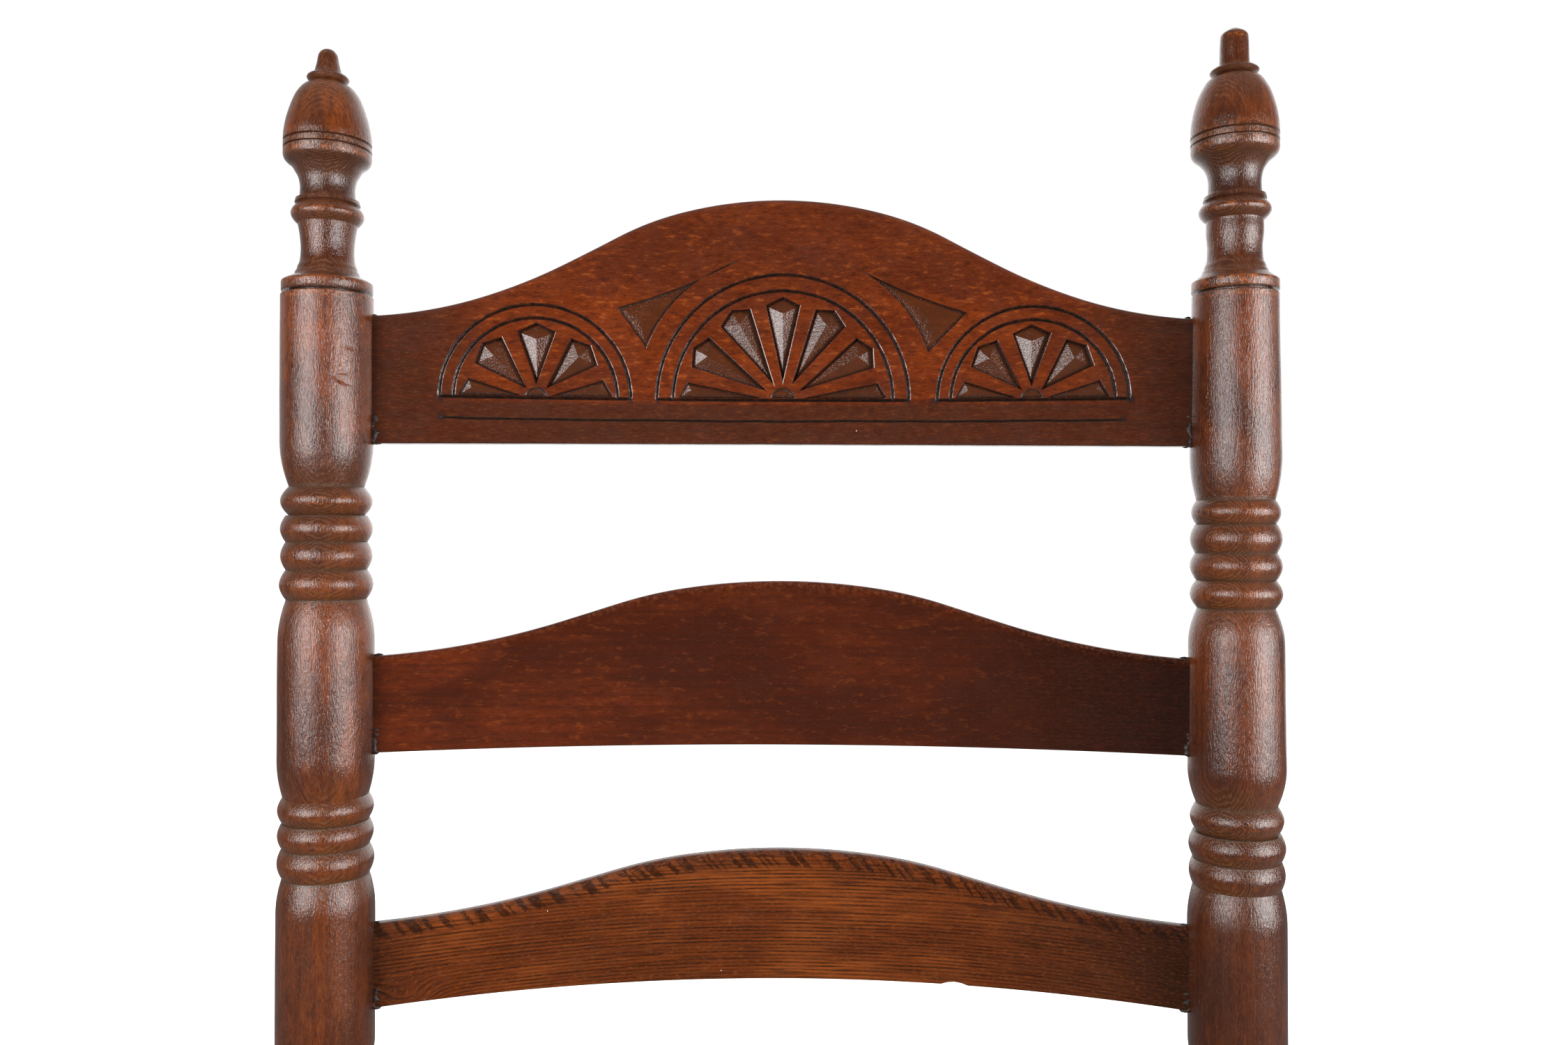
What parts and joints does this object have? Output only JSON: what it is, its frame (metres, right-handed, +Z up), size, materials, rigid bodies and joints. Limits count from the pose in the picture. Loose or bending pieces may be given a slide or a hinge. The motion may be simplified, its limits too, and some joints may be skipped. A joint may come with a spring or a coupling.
{
  "type": "ladderback chair",
  "caption": "Ladderback dining chair: turned posts with acorn finials, bowed slats under a chip-carved crest, rush seat, turned front legs and stretchers.",
  "frame": {"origin": "on the floor, under the middle of the chair", "axes": "+Z up, the chair faces -Y, +X to the right when looking at its front"},
  "size_m": [0.4916, 0.4168, 1.1001],
  "materials": {
    "post_wood": "reddish-brown glossy varnish",
    "crest_wood": "reddish-brown glossy varnish over carving",
    "slat_wood": "reddish-brown satin varnish",
    "rail_wood": "bare, hidden under the rush",
    "stretcher_wood": "reddish-brown varnish",
    "rush": "twisted dry rush"
  },
  "bodies": {
    "root": {"rear_post_left": "post_wood", "front_leg_left": "post_wood", "rear_post_right": "post_wood", "front_leg_right": "post_wood", "crest_slat": "crest_wood", "second_slat": "slat_wood", "third_slat": "slat_wood", "fourth_slat": "slat_wood", "seat_rail_front": "rail_wood", "seat_rail_rear": "rail_wood", "seat_rail_left": "rail_wood", "seat_rail_right": "rail_wood", "front_stretcher_upper": "stretcher_wood", "front_stretcher_lower": "stretcher_wood", "side_stretcher_left_upper": "stretcher_wood", "side_stretcher_left_lower": "stretcher_wood", "side_stretcher_right_upper": "stretcher_wood", "side_stretcher_right_lower": "stretcher_wood", "rear_stretcher": "stretcher_wood", "rush_seat": "rush"}
  },
  "joints": []
}
